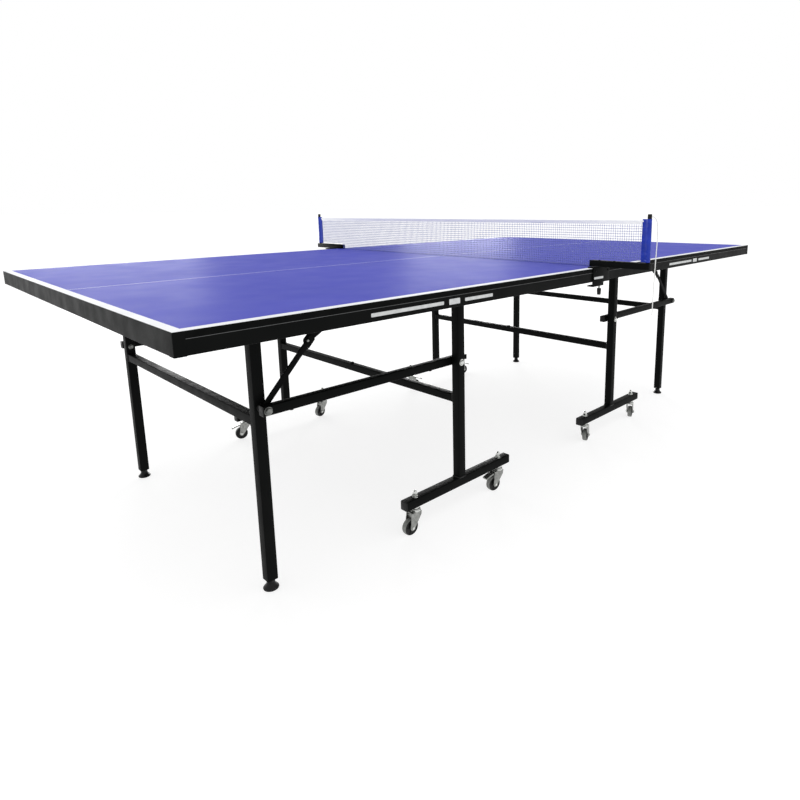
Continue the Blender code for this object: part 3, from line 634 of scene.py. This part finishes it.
# ------------------------------------------------------------------ wheel frames
def build_wheel_frames():
    for half, s, t, tag in each_corner():
        body = "wheel_frame_" + half
        low = BASE_Z + TUBE + 0.0003
        bm = bmesh.new()
        bar(bm, "Z", (low, UPRIGHT_TOP - 0.002), (POST_X, POST_Y), (TUBE, TUBE))
        bead(bm, "Z", low + 0.0003, (POST_X, POST_Y), (TUBE, TUBE), 0.0022)
        add_piece("post_tube_" + tag, bm, ["steel", "weld"], body, (s, t), ("wheel_post_" + tag,))

        bm = bmesh.new()
        cap(bm, "Z", UPRIGHT_TOP - CAP_DEPTH, (POST_X, POST_Y), (TUBE, TUBE), 1, CAP_DEPTH)
        add_piece("post_cap_" + tag, bm, ["plastic"], body, (s, t))

        bm = bmesh.new()
        face = POST_Y + TUBE / 2
        dome_nut(bm, (POST_X, face, LINK_Z), "Y", 0.0080, 0.0056)
        hex_head(bm, (POST_X, face + 0.0049, PIVOT_Z), "Y", 1, 0.0072, 0.0046)
        lathe(bm, [(0, LINK_HIGH_Y + 0.0004), (0.0085, LINK_HIGH_Y + 0.0004),
                   (0.0085, POST_Y - TUBE / 2 + 0.0002),
                   (0, POST_Y - TUBE / 2 + 0.0002)], (POST_X, 0, LINK_Z), "Y", 24)
        lathe(bm, [(0, LINK_LOW_Y - 0.0086), (0.0040, LINK_LOW_Y - 0.0086),
                   (0.0050, LINK_LOW_Y - 0.0078),
                   (0.0050, LINK_LOW_Y + 0.001), (0, LINK_LOW_Y + 0.001)], (POST_X, 0, LINK_Z), "Y", 20)
        hex_head(bm, (POST_X, LINK_LOW_Y - 0.0003, LINK_Z), "Y", -1, 0.0068, 0.0046)
        add_piece("post_bolts_" + tag, bm, ["bright"], body, (s, t))
        build_base(s, t, tag, body)
    for half, s in HALVES:
        reach = POST_Y - TUBE / 2 - 0.0003
        bm = bmesh.new()
        bar(bm, "Y", (-reach, reach), (POST_X, POST_BAR_Z), (BAR, BAR))
        for depth in (-reach + 0.0004, reach - 0.0004):
            bead(bm, "Y", depth, (POST_X, POST_BAR_Z), (BAR, BAR), 0.0020)
        add_piece("crossbar_tube_" + half, bm, ["steel", "weld"], "wheel_frame_" + half, (s, 1),
                  ("wheel_crossbar_" + half,))
        bm = bmesh.new()
        lathe(bm, [(0, 0), (0.0075, 0), (0.0075, 0.0030), (0.0055, 0.0048), (0, 0.0052)],
              (POST_X, 0.02, POST_BAR_Z + BAR / 2), "Z", 20)
        add_piece("rest_buffer_" + half, bm, ["plastic"], "wheel_frame_" + half, (s, 1))


def cap(bm, axis, start, centre, size, way, depth=0.003):
    """Plastic end cap: a rounded face standing on a tube's end."""
    sections = []
    for share, inset in ((0.0, 0.0), (0.45, 0.0), (0.8, 0.0008), (1.0, 0.0022)):
        outline = rounded(size[0] - 2 * inset - 0.0002, size[1] - 2 * inset - 0.0002, CORNER)
        sections.append([placed(axis, centre, start + way * share * depth, a, b) for a, b in outline])
    loft(bm, sections)


def build_base(s, t, tag, body):
    """Foot tube of the wheel frame, its end caps, and each caster's flange and dome nut."""
    bm = bmesh.new()
    ends = (POST_X - BASE_HALF + 0.0002, POST_X + BASE_HALF - 0.0002)
    bar(bm, "X", ends, (POST_Y, BASE_Z + TUBE / 2), (TUBE, TUBE))
    add_piece("base_tube_" + tag, bm, ["steel"], body, (s, t), ("wheel_base_" + tag,))
    bm = bmesh.new()
    cap(bm, "X", ends[0] + 0.0004, (POST_Y, BASE_Z + TUBE / 2), (TUBE, TUBE), -1)
    cap(bm, "X", ends[1] - 0.0004, (POST_Y, BASE_Z + TUBE / 2), (TUBE, TUBE), 1)
    add_piece("base_caps_" + tag, bm, ["plastic"], body, (s, t))
    bm = bmesh.new()
    for offset in (-STEM_OFFSET, STEM_OFFSET):
        x, top = POST_X + offset, BASE_Z + TUBE
        lathe(bm, [(0, 0.0786), (0.0108, 0.0786), (0.0125, 0.0796), (0.0127, 0.0812),
                   (0.0127, BASE_Z - 0.0002),
                   (0, BASE_Z - 0.0002)], (x, POST_Y, 0), "Z", 28)
        lathe(bm, [(0, top - 0.001), (0.0040, top - 0.001), (0.0040, top + 0.0070), (0, top + 0.0070)],
              (x, POST_Y, 0), "Z", 16)
        lathe(bm, [(0, top - 0.0002), (0.0098, top - 0.0002), (0.0102, top + 0.0004),
                   (0.0100, top + 0.0016),
                   (0, top + 0.0018)], (x, POST_Y, 0), "Z", 28)
        dome_nut(bm, (x, POST_Y, top + 0.0046), "Z", 0.0072, 0.0150)
    add_piece("caster_nuts_" + tag, bm, ["bright"], body, (s, t))


# ------------------------------------------------------------------ casters
def build_casters():
    for half, side, place, direction in CASTERS:
        s, t = dict(HALVES)[half], dict(SIDES)[side]
        offset = STEM_OFFSET if place == "outer" else -STEM_OFFSET
        stem = Matrix.Translation((s * (POST_X + offset), t * POST_Y, 0))
        turn = stem @ Matrix.Rotation(math.radians(direction), 4, "Z")
        tag = "%s_%s_%s" % (side, place, half)
        refined("fork_" + tag, "caster_fork_" + tag, ["zinc"], "caster_" + tag, 0.0005)
        bm = bmesh.new()
        lathe(bm, [(0.0100, 0.0688), (0.0152, 0.0690), (0.0163, 0.0706), (0.0163, 0.0722),
                   (0.0150, 0.0738),
                   (0.0138, 0.0746), (0.0146, 0.0756), (0.0142, 0.0770), (0.0124, 0.0781),
                   (0.0100, 0.0781)],
              (0, 0, 0), "Z", 36, ring=True)
        for way in (-1, 1):
            hex_head(bm, (TRAIL, way * 0.0141, WHEEL_R), "Y", way, 0.0046, 0.0026)
        bm.transform(turn)
        add_piece("caster_bolts_" + tag, bm, ["bright"], "caster_" + tag)
        build_wheel(tag, turn @ Matrix.Translation((TRAIL, 0, WHEEL_R)))
        if "brake_lever_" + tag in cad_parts:
            build_pedal(tag, turn @ Matrix.Translation((LEVER_X, 0, LEVER_Z)))


def build_pedal(tag, place):
    """Foot pedal of pressed plate with a rolled lip, turning on the fork's cross pin."""
    bm = bmesh.new()
    half = 0.0108
    outline = [(-0.0040, -0.0008), (-0.0010, 0.0042), (0.0120, 0.0040), (0.0300, -0.0012),
               (0.0396, -0.0064),
               (0.0392, -0.0108), (0.0290, -0.0066), (0.0110, -0.0012), (0.0030, -0.0034),
               (-0.0022, -0.0034)]
    plate(bm, outline, (-half, half), "Y", 0.0006)
    lathe(bm, [(0, -half), (0.0024, -half), (0.0030, -half + 0.0006), (0.0030, half - 0.0006),
               (0.0024, half),
               (0, half)], (0.0396, 0, -0.0086), "Y", 16)
    bm.transform(place)
    add_piece("pedal_" + tag, bm, ["zinc"], "brake_" + tag, replaces=("brake_lever_" + tag,))


def build_wheel(tag, place):
    """Grey tyre with a crowned tread round a dished black hub."""
    bm = bmesh.new()
    side = [(0.0226, 0.0078), (0.0236, 0.0082), (0.0243, 0.0074), (0.0248, 0.0050), (0.0250, 0.0)]
    tyre = side + [(r, -h) for r, h in reversed(side[:-1])]
    lathe(bm, tyre, (0, 0, 0), "Y", 48, 0, ring=True)
    face = [(0.0034, 0.0099), (0.0068, 0.0099), (0.0076, 0.0092), (0.0080, 0.0074), (0.0110, 0.0068),
            (0.0180, 0.0070), (0.0192, 0.0084), (0.0222, 0.0089), (0.0234, 0.0085), (0.0237, 0.0076)]
    lathe(bm, face + [(r, -h) for r, h in reversed(face)], (0, 0, 0), "Y", 48, 1, ring=True)
    for k in range(5):
        a = 2 * math.pi * k / 5
        for way in (-1, 1):
            rib = bmesh.new()
            plate(rib, [(0.0072, -0.0011), (0.0186, -0.0008), (0.0186, 0.0008), (0.0072, 0.0011)],
                  (way * 0.0060, way * 0.0084), "Y", way * 0.0003, mat=1)
            rib.transform(Matrix.Rotation(a, 4, "Y"))
            join(bm, rib)
    bm.transform(place)
    add_piece("wheel_" + tag, bm, ["tyre", "hub"], "caster_wheel_" + tag,
              replaces=("caster_wheel_" + tag,), sharp=40)


# ------------------------------------------------------------------ end frames, links and braces
def build_end_frames():
    for half, s, t, tag in each_corner():
        body = "end_frame_" + half
        bm = bmesh.new()
        bar(bm, "Z", (LEG_FOOT, UPRIGHT_TOP - 0.002), (LEG_X, LEG_Y), (TUBE, TUBE))
        add_piece("leg_tube_" + tag, bm, ["steel"], body, (s, t), ("end_leg_" + tag,))
        bm = bmesh.new()
        cap(bm, "Z", UPRIGHT_TOP - CAP_DEPTH, (LEG_X, LEG_Y), (TUBE, TUBE), 1, CAP_DEPTH)
        add_piece("leg_cap_" + tag, bm, ["plastic"], body, (s, t))
        bm = bmesh.new()
        inner, outer = LEG_Y - TUBE / 2, LEG_Y + TUBE / 2
        hex_head(bm, (LEG_X, inner - 0.0050, PIVOT_Z), "Y", -1, 0.0072, 0.0044)
        hex_head(bm, (LEG_X, inner + 0.0001, LINK_Z), "Y", -1, 0.0064, 0.0036)
        hex_head(bm, (LEG_X, LINK_HIGH_Y + 0.0004, LINK_Z), "Y", 1, 0.0086, 0.0052)
        add_piece("leg_bolts_" + tag, bm, ["dull"], body, (s, t))
        bm = bmesh.new()
        lathe(bm, [(0, outer - 0.0001), (0.0092, outer - 0.0001), (0.0098, outer + 0.0005),
                   (0.0098, outer + 0.0040),
                   (0.0090, outer + 0.0046), (0, outer + 0.0046)], (LEG_X, 0, LINK_Z), "Y", 24)
        lathe(bm, [(0, outer), (0.0049, outer), (0.0049, LINK_HIGH_Y + 0.001), (0, LINK_HIGH_Y + 0.001)],
              (LEG_X, 0, LINK_Z), "Y", 20)
        add_piece("leg_spacer_" + tag, bm, ["plastic"], body, (s, t))
        build_foot(s, t, tag)
        build_link(s, t, tag)
        refined("brace_plate_" + tag, "brace_" + tag, ["steel"], "brace_" + tag, 0.0006)
    for half, s in HALVES:
        reach = LEG_Y - TUBE / 2 - 0.0003
        bm = bmesh.new()
        bar(bm, "Y", (-reach, reach), (LEG_X, LEG_BAR_Z), (BAR, BAR))
        for depth in (-reach + 0.0004, reach - 0.0004):
            bead(bm, "Y", depth, (LEG_X, LEG_BAR_Z), (BAR, BAR), 0.0020)
        add_piece("end_bar_tube_" + half, bm, ["steel", "weld"], "end_frame_" + half, (s, 1),
                  ("end_crossbar_" + half,))


def build_foot(s, t, tag):
    """Levelling foot: bell pad, hexagon and the stem that goes up into the leg."""
    bm = bmesh.new()
    lathe(bm, [(0, 0), (0.0178, 0), (0.0192, 0.0008), (0.0200, 0.0024), (0.0199, 0.0042),
               (0.0184, 0.0062),
               (0.0160, 0.0084), (0.0136, 0.0112), (0.0118, 0.0142), (0.0107, 0.0170), (0.0104, 0.0192),
               (0, 0.0194)], (LEG_X, LEG_Y, 0), "Z", 40)
    lathe(bm, [(0, 0.0190), (0.0104, 0.0190), (0.0112, 0.0197), (0.0112, 0.0248), (0.0104, 0.0256),
               (0, 0.0257)],
          (LEG_X, LEG_Y, 0), "Z", 6, turn=0.4)
    lathe(bm, [(0, 0.0253), (0.0038, 0.0253), (0.0038, 0.0700), (0, 0.0700)], (LEG_X, LEG_Y, 0), "Z", 14)
    add_piece("foot_pad_" + tag, bm, ["plastic"], "foot_" + tag, (s, t), ("foot_" + tag,))


def build_link(s, t, tag):
    """Lower bar of the folding parallelogram, with its end caps and two stops below."""
    body = "link_" + tag
    y, z = (LINK_LOW_Y + LINK_HIGH_Y) / 2, LINK_Z
    size = (LINK_HIGH_Y - LINK_LOW_Y, LINK_HEIGHT)
    ends = (POST_X - LINK_TAIL, LEG_X + LINK_NOSE)
    bm = bmesh.new()
    bar(bm, "X", ends, (y, z), size)
    add_piece("link_tube_" + tag, bm, ["steel"], body, (s, t), ("link_" + tag,))
    bm = bmesh.new()
    cap(bm, "X", ends[0] + 0.0004, (y, z), size, -1, 0.002)
    cap(bm, "X", ends[1] - 0.0004, (y, z), size, 1, 0.002)
    bottom = z - LINK_HEIGHT / 2
    for x in (LEG_X - 0.066, POST_X + 0.092):
        lathe(bm, [(0, -0.0005), (0.0058, -0.0005), (0.0058, 0.0020), (0.0046, 0.0038), (0, 0.0040)],
              (x, y, bottom), "Z", 20, flip=-1)
    add_piece("link_caps_" + tag, bm, ["plastic"], body, (s, t))


# ------------------------------------------------------------------ net set
def build_clamps():
    """Both net clamps, each with rivets, a plain label, its screw and its post."""
    for side, t in SIDES:
        refined("clamp_plate_" + side, "net_clamp_" + side, ["steel"], "net_set", 0.0007)
        bm = bmesh.new()
        face = EDGE_Y + 0.0043
        for x in (-0.058, 0.020):
            lathe(bm, [(0, 0), (0.0042, 0), (0.0038, 0.0012), (0.0022, 0.0020), (0, 0.0022)],
                  (x, face - 0.0001, 0.750), "Y", 18)
        for y in (0.745, 0.800):
            lathe(bm, [(0, 0), (0.0040, 0), (0.0036, 0.0012), (0.0020, 0.0020), (0, 0.0022)],
                  (0, y, ARM_TOP - 0.0001), "Z", 18)
        add_piece("clamp_rivets_" + side, bm, ["steel"], "net_set", (1, t))
        bm = bmesh.new()
        outline = rounded(0.056, 0.0075, 0.0025)
        loft(bm, [[(-0.037 + a, y, 0.7275 + b) for a, b in outline]
                  for y in (face - 0.0004, face + 0.00015)])
        add_piece("clamp_label_" + side, bm, ["mark"], "net_set", (1, t))
        build_clamp_screw(side, t)
        build_net_post(side, t)


def build_clamp_screw(side, t):
    """Fluted knob on a threaded stud with a pressure pad."""
    bm = bmesh.new()
    sections = []
    for z, r in ((0.6680, 0.0050), (0.6688, 0.0060), (0.6750, 0.0064), (0.6850, 0.0070),
                 (0.6888, 0.0066),
                 (0.6900, 0.0052)):
        loop = []
        for i in range(48):
            a = 2 * math.pi * i / 48
            flute = 1.0 + 0.05 * math.cos(8 * a)
            loop.append((SCREW[0] + r * flute * math.cos(a), SCREW[1] + r * flute * math.sin(a), z))
        sections.append(loop)
    loft(bm, sections)
    add_piece("clamp_knob_" + side, bm, ["plastic"], "clamp_screw_" + side, (1, t),
              ("clamp_screw_" + side,))
    bm = bmesh.new()
    profile = [(0, 0.6895)]
    z = 0.6896
    while z < 0.7110:
        profile += [(0.0026, z), (0.0030, z + 0.00035)]
        z += 0.0007
    profile += [(0.0026, 0.7112), (0.0058, 0.7118), (0.0060, 0.7124), (0.0060, 0.7144), (0.0055, 0.7147),
                (0, 0.7147)]
    lathe(bm, profile, (*SCREW, 0), "Z", 20)
    add_piece("clamp_thread_" + side, bm, ["bright"], "clamp_screw_" + side, (1, t))


def build_net_post(side, t):
    """Round rod with a cap and a rim for the cord."""
    bm = bmesh.new()
    low = ARM_TOP + 0.0003
    lathe(bm, [(0, low), (0.0058, low), (0.0060, low + 0.0004), (0.0060, 0.9160), (0, 0.9160)],
          (0, NET_POST_Y, 0), "Z", 28)
    lathe(bm, [(0, 0.9155), (0.0064, 0.9155), (0.0066, 0.9160), (0.0066, 0.9296), (0.0061, 0.9308),
               (0.0048, 0.9312),
               (0, 0.9312)], (0, NET_POST_Y, 0), "Z", 28)
    lathe(bm, [(0.0060, 0.9205), (0.0071, 0.9208), (0.0071, 0.9222), (0.0060, 0.9225)],
          (0, NET_POST_Y, 0), "Z", 28,
          ring=True)
    add_piece("net_post_rod_" + side, bm, ["plastic"], "net_set", (1, t), ("net_post_" + side,))


def build_sleeve(side, t):
    """Vinyl pocket sewn to the net's end and pulled over the post, creased at its foot."""
    outline = [(y, NET_POST_Y + x) for x, y in arc((0, 0), SLEEVE_R, -112, 112, 24)]
    flat = [(0.0046, 0.9080), (0.0030, 0.9045), (0.0021, 0.9005), (0.0018, 0.8965), (0.0018, 0.8925)]
    outline += flat + [(-x, y) for x, y in reversed(flat)]
    bm = bmesh.new()
    sections = []
    rows = 56
    for k in range(rows + 1):
        z = SLEEVE_LOW + (SLEEVE_HIGH - SLEEVE_LOW) * k / rows
        foot = max(0.0, 1.0 - (z - SLEEVE_LOW) / 0.050)
        loop = []
        for x, y in outline:
            crease = noise.noise((x * 60 + 3 * t, y * 70, z * 110)) * (0.0006 + 0.0022 * foot)
            buckle = 0.0011 * foot * math.sin(z * 620 + y * 260)
            pull = 0.0007 * noise.noise((5.0 * t, y * 30, z * 25))
            out = max(crease + buckle, -0.0004) * (1 if x >= 0 else -1)
            loop.append((x + out + pull, y + 0.3 * crease, z - 0.0012 * foot * abs(x) * 60))
        sections.append(loop)
    loft(bm, sections)
    return add_piece("net_sleeve_" + side, bm, ["vinyl"], "net_set", (1, t), sharp=60)


def build_tape():
    """White band folded over the net's top cord."""
    bm = bmesh.new()
    sections = []
    count = 180
    for i in range(count + 1):
        y = -NET_REACH + 2 * NET_REACH * i / count
        sag = 0.0006 * noise.noise((0.3, y * 9, 0.0))
        outline = [(0.0012, 0.8995), (0.0013, 0.9060), (0.0019, 0.9095), (0.0018, 0.9116),
                   (0.0008, 0.9125),
                   (-0.0008, 0.9125), (-0.0018, 0.9116), (-0.0019, 0.9095), (-0.0013, 0.9060),
                   (-0.0012, 0.8995)]
        sections.append([(x + sag, y, z - abs(sag) * 0.4) for x, z in outline])
    loft(bm, sections)
    return add_piece("net_tape", bm, ["tape"], "net_set", sharp=70)


def build_net():
    """Open mesh of blue thread with a white top tape and vinyl sleeves at its ends."""
    pieces = [build_tape()] + [build_sleeve(side, t) for side, t in SIDES]
    columns, rows = round(2 * NET_REACH / NET_PITCH), round((NET_HEAD - NET_FOOT) / NET_PITCH)
    bm = bmesh.new()
    grid = []
    for i in range(columns + 1):
        y = -NET_REACH + 2 * NET_REACH * i / columns
        line = []
        for k in range(rows + 1):
            z = NET_FOOT + (NET_HEAD - NET_FOOT) * k / rows
            wave = 0.0007 * noise.noise((1.7, y * 14, z * 20))
            drift = 0.0016 * noise.noise((7.7, y * 22, z * 30)) if 0 < k < rows else 0.0
            line.append(bm.verts.new((wave, y + drift, z + 0.5 * drift)))
        grid.append(line)
    for i in range(columns):
        for k in range(rows):
            corners = [grid[i][k], grid[i + 1][k], grid[i + 1][k + 1], grid[i][k + 1]]
            middle = sum((v.co for v in corners), Vector()) / 4
            if abs(middle.y) > 0.7125 and min(v.co.z for v in corners) < ARM_TOP + 0.0008:
                continue
            bm.faces.new(corners)
    loose = [v for v in bm.verts if not v.link_faces]
    bmesh.ops.delete(bm, geom=loose, context="VERTS")
    mesh = bpy.data.meshes.new("net_grid")
    bm.to_mesh(mesh)
    bm.free()
    grid_object = bpy.data.objects.new("net_grid", mesh)
    bpy.context.scene.collection.objects.link(grid_object)
    wire = grid_object.modifiers.new("wire", "WIREFRAME")
    wire.thickness = THREAD
    wire.use_even_offset = False
    wire.use_boundary = True
    threads = bmesh.new()
    threads.from_mesh(bpy.data.meshes.new_from_object(
        grid_object.evaluated_get(bpy.context.evaluated_depsgraph_get())))
    bpy.data.objects.remove(grid_object)
    cloth = sum(f.calc_area() for f in threads.faces) / 2
    net = add_piece("net_mesh", threads, ["thread"], "net_set", replaces=("net",), sharp=60)


def build_cord():
    """Free tail of the tension cord, hanging from the near post's cap to its cut end."""
    points = smooth_route(CORD_ROUTE, 40)
    curve = bpy.data.curves.new("net_cord_tail", "CURVE")
    curve.dimensions = "3D"
    curve.bevel_depth = CORD_WIDTH / 2
    curve.bevel_resolution = 5
    curve.use_fill_caps = True
    spline = curve.splines.new("POLY")
    spline.points.add(len(points) - 1)
    for point, place in zip(spline.points, points):
        point.co = (*place, 1)
    curve.materials.append(LOOKS["cord"])
    cord = bpy.data.objects.new("net_cord_tail", curve)
    bpy.context.scene.collection.objects.link(cord)
    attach(cord, "net_set")
    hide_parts("net_cord")


def smooth_route(points, count):
    """Evenly spaced points on a Catmull-Rom curve through the route's own points."""
    vectors = [Vector(p) for p in points]
    padded = [2 * vectors[0] - vectors[1]] + vectors + [2 * vectors[-1] - vectors[-2]]
    fine = []
    for k in range(len(vectors) - 1):
        p0, p1, p2, p3 = padded[k:k + 4]
        for i in range(20):
            u = i / 20
            fine.append(0.5 * (2 * p1 + (p2 - p0) * u + (2 * p0 - 5 * p1 + 4 * p2 - p3) * u ** 2
                               + (3 * p1 - p0 - 3 * p2 + p3) * u ** 3))
    fine.append(vectors[-1])
    lengths = [0.0]
    for a, b in zip(fine, fine[1:]):
        lengths.append(lengths[-1] + (b - a).length)
    even, k = [], 0
    for i in range(count):
        target = lengths[-1] * i / (count - 1)
        while k < len(fine) - 2 and lengths[k + 1] < target:
            k += 1
        share = (target - lengths[k]) / (lengths[k + 1] - lengths[k])
        even.append(fine[k].lerp(fine[k + 1], min(share, 1.0)))
    return even


# ------------------------------------------------------------------ everything
add_camera()
LOOKS = make_looks()
build_cord()
add_stage()
build_tops()
build_markings()
build_wheel_frames()
build_casters()
build_end_frames()
build_clamps()
build_net()
